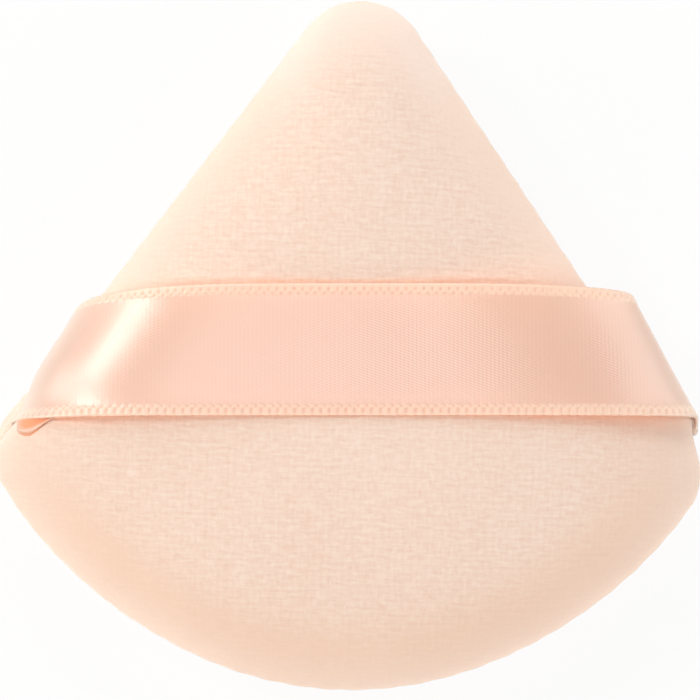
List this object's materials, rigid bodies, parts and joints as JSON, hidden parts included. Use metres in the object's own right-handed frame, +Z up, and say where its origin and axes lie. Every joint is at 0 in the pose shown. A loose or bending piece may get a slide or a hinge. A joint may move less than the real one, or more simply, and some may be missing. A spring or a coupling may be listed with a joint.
{
  "type": "powder puff",
  "caption": "Three-cornered velour powder puff with a rounded apex and a curved base, a foam core, and a satin ribbon across the front to hold it by.",
  "frame": {"origin": "on the resting plane under the back panel, below the middle of the outline's box", "axes": "+Z up, from the back panel to the ribbon; +Y from the curved base towards the rounded apex; +X to the right along the ribbon, seen from the ribbon's side"},
  "size_m": [0.082, 0.0794, 0.0197],
  "materials": {
    "velour": "soft short-pile velour",
    "satin": "glossy satin ribbon with woven edges",
    "foam": "open-cell foam",
    "thread": "spun sewing thread"
  },
  "bodies": {
    "puff": {"front_panel": "velour", "back_panel": "velour", "foam_core": "foam", "left_ribbon_end": "satin", "right_ribbon_end": "satin", "needle_thread": "thread", "bobbin_thread": "thread", "closing_thread": "thread"},
    "strap": {"ribbon_strap": "satin"}
  },
  "joints": [
    {"name": "strap_lift", "type": "slide", "parent": "puff", "child": "strap", "axis": [0, 0, 1], "range_m": [0, 0.008]}
  ]
}
